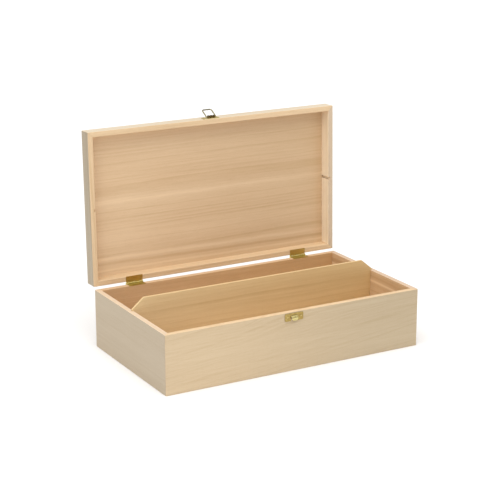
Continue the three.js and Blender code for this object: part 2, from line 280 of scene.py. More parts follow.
def hand_over(piece, material, body, node):
    """Finishes a piece: its shading, its material, the body it rides on and the CAD node it is."""
    shade_rounds(piece)
    piece.data.materials.clear()
    piece.data.materials.append(material)
    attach(piece, body)
    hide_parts(node)


# ---------------------------------------------------------------- node tools


def srgb(red, green, blue):
    """A linear colour from its usual 0 to 255 values."""
    def linear(value):
        share = value / 255
        return share / 12.92 if share <= 0.04045 else ((share + 0.055) / 1.055) ** 2.4
    return (linear(red), linear(green), linear(blue), 1)


class Recipe:
    """Writes the nodes of one material or of the world."""

    def __init__(self, owner):
        self.owner = owner
        self.owner.use_nodes = True
        self.tree = self.owner.node_tree
        self.tree.nodes.clear()

    def add(self, kind, inputs, **settings):
        """A new node. Each input is a socket to link to or a value to set."""
        node = self.tree.nodes.new("ShaderNode" + kind)
        for key, value in settings.items():
            setattr(node, key, value)
        for key, value in inputs.items():
            if isinstance(value, bpy.types.NodeSocket):
                self.tree.links.new(value, node.inputs[key])
            else:
                node.inputs[key].default_value = value
        return node

    def math(self, operation, *values):
        """The result of a Math node."""
        return self.add("Math", dict(enumerate(values)), operation=operation).outputs[0]

    def total(self, *values):
        """The sum of two or more values."""
        result = values[0]
        for value in values[1:]:
            result = self.math("ADD", result, value)
        return result

    def times(self, value, factor):
        return self.math("MULTIPLY", value, factor)

    def mapping(self, vector, scale, location=(0, 0, 0), rotation=(0, 0, 0)):
        """A vector scaled, turned and then moved."""
        inputs = {"Vector": vector, "Location": location, "Rotation": rotation, "Scale": scale}
        return self.add("Mapping", inputs).outputs[0]

    def noise(self, vector, scale, detail, roughness=0.5, location=(0, 0, 0)):
        """Noise from 0 to 1, with one size for each axis."""
        stretched = self.mapping(vector, scale, location)
        inputs = {"Vector": stretched, "Scale": 1.0, "Detail": detail, "Roughness": roughness}
        return self.add("TexNoise", inputs).outputs[0]

    def ease(self, value, low, high, start=0.0, end=1.0):
        """A smooth step from start to end as the value goes from low to high."""
        inputs = {0: value, 1: low, 2: high, 3: start, 4: end}
        return self.add("MapRange", inputs, interpolation_type="SMOOTHSTEP").outputs[0]

    def swing(self, value, amount):
        """A 0 to 1 value turned into plus or minus half of amount."""
        return self.times(self.math("SUBTRACT", value, 0.5), amount)

    def dot(self, first, second):
        inputs = {0: first, 1: second}
        return self.add("VectorMath", inputs, operation="DOT_PRODUCT").outputs["Value"]

    def mix(self, share, first, second, **settings):
        """The first colour at a share of 0 and the second at 1."""
        inputs = {0: share, 6: first, 7: second}
        return self.add("Mix", inputs, data_type="RGBA", **settings).outputs[2]

    def finish(self, shader, output="OutputMaterial"):
        """Links the shader to the output, and returns the material or world."""
        self.add(output, {"Surface": shader.outputs[0]})
        return self.owner


def material_recipe(name):
    return Recipe(bpy.data.materials.new(name))


# ---------------------------------------------------------------- wood

# which of X, Y and Z runs along the grain, across the face and through the board
GRAIN_X = "XZY"
GRAIN_X_FLAT = "XYZ"
GRAIN_Y = "YZX"

# noises: waves per mm in that order, detail, then roughness and a shift where they are needed
BROAD_BANDS = ((0.005, 0.035, 0.035), 3.0, 0.55)
FIBRES = ((0.006, 0.4, 0.4), 5.0, 0.7)
HAIRS = ((0.05, 3.5, 3.5), 3.0, 0.7)
PORES = ((0.16, 6.0, 6.0), 1.0, 0.5)
RING_BEND = ((0.005, 0.02, 0.02), 2.0, 0.4, (3, 1, 7))
RING_PATCHES = ((0.008, 0.1, 0.1), 2.0, 0.5)
YEAR_WIDTHS = ((0.07, 1, 1), 3.0, 0.6)
STREAK_WAVER = ((0.02, 0.001, 0.001), 3.0)

# growth rings: within a year, which runs from 0 to 1, the line darkens slowly and ends abruptly
YEAR_UNEVENNESS = 5.0
RING_RISE = (0.3, 0.94)
RING_FALL = (0.95, 1.0)
PATCH_EDGE = (0.35, 0.65)
FAINT_PATCH = 0.25

# tone of the wood, from 0 for the deepest to 1 for the palest
MIDDLE_TONE = 0.6
PORE_EDGE = (0.6, 0.72)
PORE_TONE = -0.35
HAIR_SHARE = 1.1
FACE_EDGE = (0.6, 0.95)

# relief and gloss of the wood; the heights are shares of the relief's depth
RING_HEIGHT = 0.25
FIBRE_HEIGHT = 0.6
HAIR_HEIGHT = 0.3
PORE_HEIGHT = -0.5
RELIEF_DEPTH = 0.08 * MM
RELIEF_STRENGTH = 0.35
SOFT_EDGE = 0.4 * MM
WOOD_ROUGHNESS = 0.6
FIBRE_ROUGHNESS = 0.12
PORE_ROUGHNESS = 0.1
WOOD_SPECULAR = 0.35

SEED_STEP = (137.0, 59.0, 83.0)  # in mm, from one seed's wood to the next
BOARD_REACH = 160.0  # in mm, from a board's middle to where its far tone is reached

# multipliers for the palest and the deepest wood in a board
PALER = (1.1, 1.12, 1.15, 1)
DEEPER = (0.86, 0.8, 0.72, 1)

# wood tones. Some paint light and shade: the grey tones of the left outer faces paint a dim, cool side
# light, the cream of the lid front paints top light and sheen, the rose tones paint light onto the
# shaded inner face of the lid's right wall, and the dull, deep and dark far-end tones paint shade
PEACH = srgb(226, 198, 160)
STRAW = srgb(209, 187, 154)
SHADED_STRAW = srgb(189, 171, 142)
SIDE_SHADE_ASH = srgb(188, 173, 150)
SIDE_SHADE_GREY_ASH = srgb(176, 163, 142)
TOP_LIT_CREAM = srgb(219, 204, 180)
HONEY = srgb(216, 182, 140)
SHADED_HONEY = srgb(204, 167, 120)
LIT_ROSE = srgb(249, 231, 202)
LIT_PALE_ROSE = srgb(254, 243, 220)
DULL_PEACH = srgb(208, 187, 161)
PALE_PEACH = srgb(223, 200, 172)
BLUSH = srgb(214, 189, 164)
PALE_HONEY = srgb(217, 185, 148)
LIGHT_HONEY = srgb(217, 188, 149)
TAN = srgb(222, 193, 145)
LIT_TAN = srgb(229, 203, 156)
SHADED_TAN = srgb(214, 185, 134)
PANEL = srgb(226, 197, 160)
SHADED_PANEL = srgb(209, 180, 143)

# long bands that stand out, as (place across the board in mm, slope, half width in mm, strength);
# a negative strength darkens the wood
RIM = HINGE.z / MM
RIGHT_WALL_STREAKS = (
    (RIM - 8.5, 0.0, 4.0, -0.4),
    (RIM - 13.5, 0.0, 2.5, 0.95),
    (RIM - 19.0, 0.02, 5.0, -0.25),
    (RIM - 30.0, 0.0, 3.5, 0.4),
)
LID_PANEL_STREAKS = (
    (-4.0, 0.004, 5.0, 0.4),
    (-18.0, 0.01, 9.0, -0.22),
    (44.0, -0.01, 16.0, 0.16),
    (70.0, -0.01, 4.0, 0.45),
    (77.0, -0.012, 3.0, -0.5),
    (84.0, -0.004, 2.5, 0.45),
)


def board_point(recipe, order, in_lid):
    """The point in the board in mm: along the grain, across it and through the board.

    In the lid it is the point's place with the lid shut.
    """
    point = recipe.add("TexCoord", {}).outputs["Object"]
    if in_lid:
        point = recipe.mapping(point, (1, 1, 1), SHUT.translation, (OPEN_ANGLE, 0, 0))
    parts = recipe.add("SeparateXYZ", {0: recipe.mapping(point, (1 / MM,) * 3)})
    inputs = {i: parts.outputs[axis] for i, axis in enumerate(order)}
    return recipe.add("CombineXYZ", inputs).outputs[0]


def ring_tone(recipe, point, spacing, pith, tilt, warp):
    """Growth rings round a pith line off the board: 0 in the pale wood, 1 in a dark line."""
    parts = recipe.add("SeparateXYZ", {0: point})
    bend = recipe.swing(recipe.noise(point, *RING_BEND), warp)
    lean = recipe.times(parts.outputs[0], tilt)
    across = recipe.total(parts.outputs[1], lean, bend, -pith[0])
    through = recipe.math("SUBTRACT", parts.outputs[2], pith[1])
    squares = recipe.total(recipe.math("POWER", across, 2.0), recipe.math("POWER", through, 2.0))
    distance = recipe.math("SQRT", squares)
    years = recipe.add("CombineXYZ", {0: distance})
    uneven = recipe.swing(recipe.noise(years.outputs[0], *YEAR_WIDTHS), YEAR_UNEVENNESS)
    count = recipe.math("ADD", recipe.math("DIVIDE", distance, spacing), uneven)
    share = recipe.math("FRACT", count)
    year = recipe.math("FLOOR", count)
    weight = recipe.add("TexWhiteNoise", {"W": year}, noise_dimensions="1D").outputs["Value"]
    patches = recipe.ease(recipe.noise(point, *RING_PATCHES), *PATCH_EDGE, FAINT_PATCH, 1.0)
    line = recipe.times(recipe.ease(share, *RING_RISE), recipe.ease(share, *RING_FALL, 1.0, 0.0))
    return recipe.times(recipe.times(line, weight), patches)


def streak(recipe, point, centre, slope, half_width, strength):
    """A lighter or darker band along the grain, centred at a distance across the board."""
    parts = recipe.add("SeparateXYZ", {0: point})
    waver = recipe.swing(recipe.noise(point, *STREAK_WAVER), half_width)
    line = recipe.times(parts.outputs[0], slope)
    off = recipe.math("ABSOLUTE", recipe.total(parts.outputs[1], -centre, line, waver))
    return recipe.ease(off, 0.0, half_width, strength, 0.0)


# picks out one face, so that light and shade can be painted onto it
def face_share(recipe, outward):
    """1 on the face that looks along a direction, 0 on the others."""
    normal = recipe.add("TexCoord", {}).outputs["Normal"]
    return recipe.ease(recipe.dot(normal, tuple(outward)), *FACE_EDGE)


def wood(name, order, plain_colour, seed, faces=(), in_lid=False, spacing=3.6, pith=(-20.0, -90.0),
         tilt=0.01, warp=10.0, ring=0.75, bands=0.8, fibres=1.0, streaks=()):
    """Bare sanded softwood: rings, broad bands, fine fibres and pores.

    Each of faces is (direction, colour, colour at the far end), for a face with a tone of its own,
    partly the wood's and partly painted light and shade for how light falls on that face and along it.
    The rings are spacing mm apart round a pith line at (across, through) mm, which leans by tilt
    and is bent by warp mm. Ring, bands and fibres are strengths. Streaks are rows for streak().
    """
    recipe = material_recipe(name)
    plain = board_point(recipe, order, in_lid)
    shift = [seed * step for step in SEED_STEP]
    point = recipe.mapping(plain, (1, 1, 1), shift)
    own_pith = (pith[0] + shift[1], pith[1] + shift[2])
    rings = ring_tone(recipe, point, spacing, own_pith, tilt, warp)
    broad = recipe.noise(point, *BROAD_BANDS)
    lines = recipe.noise(point, *FIBRES)
    hairs = recipe.noise(point, *HAIRS)
    pores = recipe.ease(recipe.noise(point, *PORES), *PORE_EDGE)
    tone = recipe.total(
        MIDDLE_TONE,
        recipe.times(rings, -ring),
        recipe.swing(broad, bands),
        recipe.swing(lines, fibres),
        recipe.swing(hairs, fibres * HAIR_SHARE),
        recipe.times(pores, PORE_TONE),
        *[streak(recipe, plain, *values) for values in streaks],
    )
    along = recipe.add("SeparateXYZ", {0: plain}).outputs[0]
    end_share = recipe.ease(along, -BOARD_REACH, BOARD_REACH)
    colour = plain_colour
    for direction, near, far in faces:
        colour = recipe.mix(face_share(recipe, direction), colour, recipe.mix(end_share, near, far))
    pale = recipe.mix(1.0, colour, PALER, blend_type="MULTIPLY")
    deep = recipe.mix(1.0, colour, DEEPER, blend_type="MULTIPLY")
    tinted = recipe.mix(recipe.math("MAXIMUM", tone, 0.0), deep, pale, clamp_factor=False)
    dull_fibres = recipe.swing(lines, FIBRE_ROUGHNESS)
    roughness = recipe.total(WOOD_ROUGHNESS, dull_fibres, recipe.times(pores, PORE_ROUGHNESS))
    relief = recipe.total(
        recipe.times(lines, FIBRE_HEIGHT),
        recipe.times(hairs, HAIR_HEIGHT),
        recipe.times(pores, PORE_HEIGHT),
        recipe.times(rings, RING_HEIGHT),
    )
    bump = recipe.add("Bump", {
        "Strength": RELIEF_STRENGTH,
        "Distance": RELIEF_DEPTH,
        "Height": relief,
        "Normal": recipe.add("Bevel", {"Radius": SOFT_EDGE}, samples=4).outputs[0],
    })
    shader = recipe.add("BsdfPrincipled", {
        "Base Color": tinted,
        "Roughness": roughness,
        "Normal": bump.outputs[0],
        "Specular IOR Level": WOOD_SPECULAR,
    })
    return recipe.finish(shader)


# ---------------------------------------------------------------- boards

SIDE_TURNS = {"front": 0, "right": math.pi / 2, "back": math.pi, "left": -math.pi / 2}
OUTWARD = {"front": (0, -1, 0), "back": (0, 1, 0), "left": (-1, 0, 0), "right": (1, 0, 0)}


def mitred_board(name, section, half, distance):
    """A board along X with mitred ends. Its outer face looks to -Y at the given distance.

    A section's points are (depth from the outer face, height), and half is half of the length.
    """
    turns = [math.pi / 4 * (1 - k / ARC_STEPS) for k in range(ARC_STEPS + 1)]
    stations = [(-1, turn) for turn in turns] + [(1, turn) for turn in reversed(turns)]

    def place(side, turn, inward, up):
        radius = max(CORNER_RADIUS - inward, 0)
        depth = max(CORNER_RADIUS, inward)
        x = side * (half - depth + radius * math.sin(turn))
        return Vector((x, depth - radius * math.cos(turn) - distance, up))

    bm = bmesh.new()
    loft(bm, [[place(*station, inward, up) for inward, up in section] for station in stations])
    bmesh.ops.remove_doubles(bm, verts=bm.verts, dist=WELD)
    return piece_from(name, bm)


def base_section(low, high, wall, panel):
    """A base wall's section: a rebate below holds the panel, whose top is at this height."""
    rebate = wall * REBATE_SHARE
    outline = [(0, low), (rebate, low), (rebate, panel), (wall, panel), (wall, high), (0, high)]
    radii = [EDGE_RADIUS, 0, 0, 0, EDGE_RADIUS, EDGE_RADIUS]
    return rounded(outline, radii)


def lid_section(low, high, wall, panel):
    """A lid wall's section: a rebate above holds the panel, whose underside is at this height."""
    rebate = wall * REBATE_SHARE
    outline = [(0, low), (wall, low), (wall, panel), (rebate, panel), (rebate, high), (0, high)]
    radii = [EDGE_RADIUS, EDGE_RADIUS, 0, 0, 0, LID_EDGE_RADIUS]
    return rounded(outline, radii)


def wall_pieces(part, matrix, section_of, panel_level):
    """The four walls of the base or the lid, drawn with the lid shut."""
    front = box_with(matrix, f"{part}_front_wall")
    left = box_with(matrix, f"{part}_left_wall")
    wall = front[1].y - front[0].y
    section = section_of(front[0].z, front[1].z, wall, panel_level)
    halves = {"front": front[1].x, "back": front[1].x, "left": left[1].y, "right": left[1].y}
    distances = {"front": -front[0].y, "back": -front[0].y, "left": -left[0].x, "right": -left[0].x}
    pieces = {}
    for side, turn in SIDE_TURNS.items():
        piece = mitred_board(f"{part}_{side}_board", section, halves[side], distances[side])
        piece.data.transform(Matrix.Rotation(turn, 4, "Z"))
        pieces[side] = piece
    return pieces


def cut_grooves(pieces, part, matrix, low, high):
    """Cuts the divider's upright grooves into the inner faces of the left and right walls."""
    for side, inward in (("left", 1), ("right", -1)):
        lowest, highest = box_with(matrix, f"{part}_{side}_wall")
        inner_x = highest.x if side == "left" else lowest.x
        x0, x1 = sorted((inner_x - inward * GROOVE_DEPTH, inner_x + inward * CUT_MARGIN))
        cutter = block("cutter", (x0, -GROOVE_HALF_WIDTH, low), (x1, GROOVE_HALF_WIDTH, high))
        combine(pieces[side], [cutter], "DIFFERENCE")


def hinge_cutters(part, matrix):
    """The recesses of the hinge leaves in a back wall."""
    cutters = []
    wall_low, wall_high = box_with(matrix, f"{part}_back_wall")
    depth = (LEAF_THICKNESS + LEAF_SINK + LEAF_GAP) * MM
    for side in ("left", "right"):
        low, high = box_with(matrix, f"{side}_hinge_{part}_leaf")
        if part == "base":
            zs = (wall_high.z - depth, wall_high.z + CUT_MARGIN)
        else:
            zs = (wall_low.z - CUT_MARGIN, HINGE.z + depth)
        xs = (low.x - LEAF_GAP * MM, high.x + LEAF_GAP * MM)
        ys = (wall_low.y - CUT_MARGIN, wall_high.y + CUT_MARGIN)
        cutters.append(block("cutter", (xs[0], ys[0], zs[0]), (xs[1], ys[1], zs[1])))
    return cutters


def build_walls():
    """The eight walls by their sides, with their grooves and recesses, the lid's turned open."""
    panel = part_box("base_bottom_panel")[1].z
    base = wall_pieces("base", Matrix(), base_section, panel)
    lid_panel = box_with(SHUT, "lid_top_panel")[0].z
    lid = wall_pieces("lid", SHUT, lid_section, lid_panel)
    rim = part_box("base_front_wall")[1].z
    cut_grooves(base, "base", Matrix(), -CUT_MARGIN, rim + CUT_MARGIN)
    cut_grooves(lid, "lid", SHUT, rim - CUT_MARGIN, lid_panel)
    combine(base["back"], hinge_cutters("base", Matrix()), "DIFFERENCE")
    combine(lid["back"], hinge_cutters("lid", SHUT), "DIFFERENCE")
    for piece in lid.values():
        piece.data.transform(OPEN)
    return base, lid


def finish_walls(base, lid):
    """Gives each wall its own wood, with light and shade painted into its face tones. Near is a face's
    left or front end, and far the other one.
    """
    front_look = dict(tilt=-0.12, warp=24.0, spacing=4.5, ring=0.35, bands=0.5, fibres=0.8)
    calm_look = dict(ring=0.3, bands=0.5, fibres=0.6)
    right_look = dict(streaks=RIGHT_WALL_STREAKS)
    # board: grain, colour of its edges, seed, outer face near and far, inner face near and far, look
    # the outer and inner tones are partly the wood's and partly painted light and shade, and the far
    # tones paint shade or light along a face
    looks = {
        ("base", "front"): (GRAIN_X, PEACH, 1, (STRAW, SHADED_STRAW), (HONEY, HONEY), front_look),
        ("base", "back"): (GRAIN_X, PALE_HONEY, 2, (STRAW, STRAW), (HONEY, SHADED_HONEY), {}),
        ("base", "left"): (GRAIN_Y, PALE_PEACH, 3, (SIDE_SHADE_ASH, SIDE_SHADE_ASH), (HONEY, HONEY), calm_look),
        ("base", "right"): (GRAIN_Y, BLUSH, 4, (STRAW, STRAW), (LIGHT_HONEY, LIGHT_HONEY), right_look),
        ("lid", "front"): (GRAIN_X, PEACH, 5, (TOP_LIT_CREAM, TOP_LIT_CREAM), (PEACH, PEACH), {}),
        ("lid", "back"): (GRAIN_X, PEACH, 6, (STRAW, STRAW), (PEACH, PEACH), {}),
        ("lid", "left"): (GRAIN_Y, PEACH, 7, (SIDE_SHADE_GREY_ASH, SIDE_SHADE_GREY_ASH), (PEACH, PEACH), {}),
        ("lid", "right"): (GRAIN_Y, DULL_PEACH, 8, (STRAW, STRAW), (LIT_ROSE, LIT_PALE_ROSE), calm_look),
    }
    for (part, side), (order, plain_colour, seed, outer, inner, look) in looks.items():
        in_lid = part == "lid"
        pieces, turn = (lid, OPEN.to_3x3()) if in_lid else (base, Matrix.Identity(3))
        outward = turn @ Vector(OUTWARD[side])
        faces = [(outward, *outer), (-outward, *inner)]
        material = wood(f"{part}_{side}_wood", order, plain_colour, seed, faces, in_lid, **look)
        hand_over(pieces[side], material, part, f"{part}_{side}_wall")


def dress(node, material):
    """Gives a CAD node that stays as it is its material."""
    mesh = frame["nodes"][node].data
    mesh.materials.clear()
    mesh.materials.append(material)


def finish_panels():
    """The two panels keep their CAD solids and get their wood."""
    inward = OPEN.to_3x3() @ Vector((0, 0, -1))
    # the panel's inner face darkens towards its far end: painted shade
    faces = [(inward, PANEL, SHADED_PANEL)]
    look = dict(spacing=3.2, pith=(160.0, -120.0), warp=8.0, ring=0.45, bands=0.6, fibres=0.75)
    look["streaks"] = LID_PANEL_STREAKS
    dress("lid_top_panel", wood("lid_panel_wood", GRAIN_X_FLAT, STRAW, 9, faces, True, **look))
    dress("base_bottom_panel", wood("base_panel_wood", GRAIN_X_FLAT, HONEY, 10))


def build_divider():
    """The divider's CAD solid with softened edges."""
    bm = bmesh.new()
    bm.from_mesh(frame["nodes"]["divider"].data)
    bmesh.ops.remove_doubles(bm, verts=bm.verts, dist=WELD)
    bmesh.ops.dissolve_limit(bm, angle_limit=FLAT_ANGLE, verts=bm.verts, edges=bm.edges)
    bmesh.ops.bevel(bm, geom=bm.edges[:], offset=DIVIDER_SOFTNESS, segments=3, profile=0.5,
                    affect="EDGES", clamp_overlap=True)
    # the divider's front face is lighter at its left end and darker at its right: painted light and
    # shade
    faces = [(OUTWARD["front"], LIT_TAN, SHADED_TAN)]
    material = wood("divider_wood", GRAIN_X, TAN, 11, faces, ring=0.45, fibres=0.8)
    hand_over(piece_from("divider_board", bm), material, "divider", "divider")


# ---------------------------------------------------------------- brass

# noises: waves per mm, detail and roughness
BLOTCHES = ((0.35, 0.35, 0.35), 5.0, 0.65)
SCRATCHES = ((1.5, 14.0, 14.0), 3.0, 0.6)
SPECKS = ((2.2, 2.2, 2.2), 2.0, 0.5)

TARNISH_SPREAD = 0.4
TARNISH_SHARE = 0.6
SPECK_EDGE = (0.66, 0.74)
SPECK_SHARE = 0.35
WORN_EDGE_RADIUS = 0.25 * MM
WORN_EDGE_TURN = (0.8, 0.99)
WORN_SHARE = 0.6
CHANGE_SHARE = 0.85
# how far round and how strongly shade is painted into the brass's crevices
CREVICE_REACH = 1.6 * MM
CREVICE_FLOOR = 0.1
CREVICE_SHADE_SHARE = 0.9
SCRATCH_ROUGHNESS = 0.16
TARNISH_ROUGHNESS = 0.3
SCRATCH_DEPTH = 0.03 * MM
SCRATCH_STRENGTH = 0.3

# bright brass, both for worn edges and for the highlight painted on the catch's tongue
BRIGHT_BRASS = srgb(246, 230, 160)
PALE_BRASS = srgb(218, 198, 122)
AGED_BRASS = srgb(196, 172, 106)
# the dark brown painted onto the hasp's barrel as shade
BARREL_SHADE_BRASS = srgb(84, 56, 26)
GREY_WIRE = srgb(158, 150, 118)
TARNISH = srgb(150, 122, 66)
# the dark tone of the shade painted into crevices
CREVICE_SHADE = srgb(58, 42, 20)

# in mm out from the plate's face: where the barrel turns to its painted shade, and the tongue to its
# painted highlight
BARREL_SHADE = (0.5, 1.0)
TONGUE_HIGHLIGHT = (0.0, 1.2)


def brass(name, tone, crevice, tarnish_start=0.4, dullness=0.2, change=None):
    """Rolled brass, a little tarnished, with fine scratches, brighter edges and painted shade in
    crevices.

    Painted shade starts where less than the crevice share of the surroundings is open. A change is
    (axis, start, end, tone): along the axis the brass turns to this tone between start and end, in mm.
    The hasp's change paints shade on its barrel, and the catch's paints a highlight on its tongue.
    """
    recipe = material_recipe(name)
    point = recipe.mapping(recipe.add("TexCoord", {}).outputs["Object"], (1 / MM,) * 3)
    blotches = recipe.noise(point, *BLOTCHES)
    scratches = recipe.noise(point, *SCRATCHES)
    specks = recipe.ease(recipe.noise(point, *SPECKS), *SPECK_EDGE)
    dull = recipe.ease(blotches, tarnish_start, tarnish_start + TARNISH_SPREAD, 0.0, TARNISH_SHARE)
    tarnish = recipe.total(dull, recipe.times(specks, SPECK_SHARE))
    edges = recipe.add("Bevel", {"Radius": WORN_EDGE_RADIUS}, samples=4).outputs[0]
    flat = recipe.add("NewGeometry", {}).outputs["Normal"]
    worn = recipe.ease(recipe.dot(edges, flat), *WORN_EDGE_TURN, WORN_SHARE, 0.0)
    body = recipe.mix(tarnish, tone, TARNISH)
    if change is not None:
        axis, start, end, other_tone = change
        place = recipe.add("SeparateXYZ", {0: point}).outputs[axis]
        first, last = (0.0, CHANGE_SHARE) if start < end else (CHANGE_SHARE, 0.0)
        share = recipe.ease(place, min(start, end), max(start, end), first, last)
        body = recipe.mix(share, body, other_tone)
    rubbed = recipe.mix(worn, body, BRIGHT_BRASS)
    # painted shade: the brass darkens where its surroundings are closed in, in place of crevice shadow
    openness = recipe.add("AmbientOcclusion", {"Distance": CREVICE_REACH}, samples=8).outputs["AO"]
    painted_shade = recipe.ease(openness, CREVICE_FLOOR, crevice, CREVICE_SHADE_SHARE, 0.0)
    colour = recipe.mix(painted_shade, rubbed, CREVICE_SHADE)
    scuffed = recipe.swing(scratches, SCRATCH_ROUGHNESS)
    roughness = recipe.total(scuffed, recipe.times(tarnish, TARNISH_ROUGHNESS), dullness)
    bump_inputs = {"Strength": SCRATCH_STRENGTH, "Distance": SCRATCH_DEPTH, "Height": scratches}
    shader = recipe.add("BsdfPrincipled", {
        "Base Color": colour,
        "Metallic": 1.0,
        "Roughness": roughness,
        "Normal": recipe.add("Bump", bump_inputs).outputs[0],
    })
    return recipe.finish(shader)


def hasp_brass():
    """The plate on the lid: its barrel, which stands out upwards when the lid is open, has painted
    shade.
    """
    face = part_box("clasp_plate")[0].z / MM + CLASP_PLATE_THICKNESS
    change = ("Z", face + BARREL_SHADE[0], face + BARREL_SHADE[1], BARREL_SHADE_BRASS)
    return brass("hasp_brass", PALE_BRASS, crevice=0.8, change=change)


def catch_brass():
    """The plate on the base: its tongue, which stands out to the front, has a painted highlight."""
    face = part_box("base_front_wall")[0].y / MM - CATCH_THICKNESS
    change = ("Y", face - TONGUE_HIGHLIGHT[0], face - TONGUE_HIGHLIGHT[1], BRIGHT_BRASS)
    return brass("catch_brass", AGED_BRASS, crevice=0.9, tarnish_start=0.2, change=change)


# ---------------------------------------------------------------- hinges, in mm about the pin


def in_mm(place):
    """The matrix that sets a piece drawn in mm down at a place in metres."""
    return Matrix.Translation(place) @ Matrix.Scale(MM, 4)


def about_x(piece):
    """Turns a piece drawn about Z to lie about X."""
    piece.data.transform(Matrix.Rotation(math.pi / 2, 4, "Y"))
    return piece


def knuckle_span(i):
    """Where knuckle i starts and ends along the hinge."""
    pitch = HINGE_LENGTH / KNUCKLES
    start = -HINGE_LENGTH / 2 + pitch * i
    near = 0 if i == 0 else KNUCKLE_GAP
    far = 0 if i == KNUCKLES - 1 else KNUCKLE_GAP
    return start + near, start + pitch - far


def barrel(x0, x1, bore, radius):
    """A tube about X with rounded rims."""
    corners = [(bore, x0), (radius, x0), (radius, x1), (bore, x1)]
    return about_x(lathe("barrel", rounded(corners, [BORE_EDGE, KNUCKLE_EDGE, KNUCKLE_EDGE, BORE_EDGE])))


def nail(name, length, sink, dome):
    """A nail along -Z. Its head's rim is at z = 0, with a cone sunk below it and a dome above."""
    turns = [math.pi / 2 * k / NAIL_DOME_STEPS for k in range(NAIL_DOME_STEPS + 1)]
    head = [(NAIL_HEAD_RADIUS * math.cos(turn), dome * math.sin(turn)) for turn in turns]
    shaft = [(0, -length), (NAIL_SHAFT_RADIUS, NAIL_TIP - length), (NAIL_SHAFT_RADIUS, -sink)]
    return lathe(name, shaft + head)


def leaf(name, reach, upper):
    """A hinge leaf with its knuckles, drawn with its sheet below the pin's axis."""
    odd, even = range(1, KNUCKLES, 2), range(0, KNUCKLES, 2)
    own, others = (odd, even) if upper else (even, odd)
    half = HINGE_LENGTH / 2
    corners = [(-half, -reach), (half, -reach), (half, -PLATE_START), (-half, -PLATE_START)]
    outline = rounded(corners, [LEAF_CORNER, LEAF_CORNER, 0, 0])
    piece = plate(name, outline, LEAF_THICKNESS, SHEET_SOFTNESS)
    piece.data.transform(Matrix.Translation((0, 0, -LEAF_SINK - LEAF_THICKNESS)))
    notches = []
    for i in others:
        x0, x1 = knuckle_span(i)
        low = (x0 - 2 * KNUCKLE_GAP, -KNUCKLE_RADIUS - NOTCH_CLEARANCE, -KNUCKLE_RADIUS)
        notches.append(block("notch", low, (x1 + 2 * KNUCKLE_GAP, 0, KNUCKLE_RADIUS)))
    combine(piece, notches, "DIFFERENCE")
    knuckles = [barrel(*knuckle_span(i), BORE_RADIUS, KNUCKLE_RADIUS) for i in own]
    return combine(piece, knuckles, "UNION")


def stop_bar(x0, x1, y0, y1, z0, z1):
    """A small bar behind the knuckles that meets the other leaf's when the lid is open."""
    bm = box_mesh((x0, y0, z0), (x1, y1, z1))
    bmesh.ops.bevel(bm, geom=bm.edges[:], offset=SHEET_SOFTNESS, segments=2, profile=0.5,
                    affect="EDGES")
    return piece_from("stop", bm)


def build_leaves(side, reach, place, metal):
    """The two leaves of a hinge with their stops. The upper one is drawn shut, as the lower's mirror."""
    thick = (-STOP_THICKNESS - STOP_GAP, -STOP_GAP)
    lower = leaf(f"{side}_hinge_lower_leaf", reach, False)
    combine(lower, [stop_bar(*knuckle_span(2), STOP_ROOT, STOP_REACH, *thick)], "UNION")
    lower.data.transform(place)
    hand_over(lower, metal, "base", f"{side}_hinge_base_leaf")

    upper = leaf(f"{side}_hinge_upper_leaf", reach, True)
    upper.data.transform(Matrix.Scale(-1, 4, (0, 0, 1)))
    upper.data.flip_normals()
    bars = [stop_bar(*knuckle_span(i), *thick, STOP_ROOT, STOP_REACH) for i in (1, 3)]
    bars.append(stop_bar(knuckle_span(1)[0], knuckle_span(3)[1], *thick, STOP_INNER, STOP_REACH))
    combine(upper, bars, "UNION")
    upper.data.transform(OPEN @ place)
    hand_over(upper, metal, "lid", f"{side}_hinge_lid_leaf")


def build_pin(side, place, metal):
    """The pin of a hinge, its ends rounded."""
    end = HINGE_LENGTH / 2 + PIN_OVERHANG
    corners = [(0, -end), (PIN_RADIUS, -end), (PIN_RADIUS, end), (0, end)]
    pin = about_x(lathe(f"{side}_hinge_wire_pin", rounded(corners, [0, PIN_EDGE, PIN_EDGE, 0])))
    pin.data.transform(place)
    hand_over(pin, metal, "base", f"{side}_hinge_pin")


def build_hinge_nails(side, part, matrix, metal):
    """The nails of one leaf. The lid's are turned to point up when it is shut."""
    for i in (1, 2):
        node = f"{side}_hinge_{part}_nail_{i}"
        low, high = box_with(matrix, node)
        name = f"{side}_hinge_{part}_brad_{i}"
        piece = nail(name, HINGE_NAIL_LENGTH, NAIL_HEAD_HEIGHT, HINGE_NAIL_DOME)
        if part == "lid":
            piece.data.transform(Matrix.Rotation(math.pi, 4, "X"))
        middle = (low + high) / 2
        face = high.z if part == "base" else low.z
        piece.data.transform(matrix.inverted() @ in_mm((middle.x, middle.y, face)))
        hand_over(piece, metal, part, node)


def build_hinges(metal):
    """Both hinges, each with two leaves, a pin and four nails."""
    reach = (HINGE.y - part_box("left_hinge_base_leaf")[0].y) / MM
    for side in ("left", "right"):
        low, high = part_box(f"{side}_hinge_base_leaf")
        place = in_mm(((low.x + high.x) / 2, HINGE.y, HINGE.z))
        build_leaves(side, reach, place, metal)
        build_pin(side, place, metal)
        build_hinge_nails(side, "base", Matrix(), metal)
        build_hinge_nails(side, "lid", SHUT, metal)


# ---------------------------------------------------------------- clasp, in mm from the rim


def heading(points, i):
    """The way a line of points runs at one of them."""
    return (points[min(i + 1, len(points) - 1)] - points[max(i - 1, 0)]).normalized()


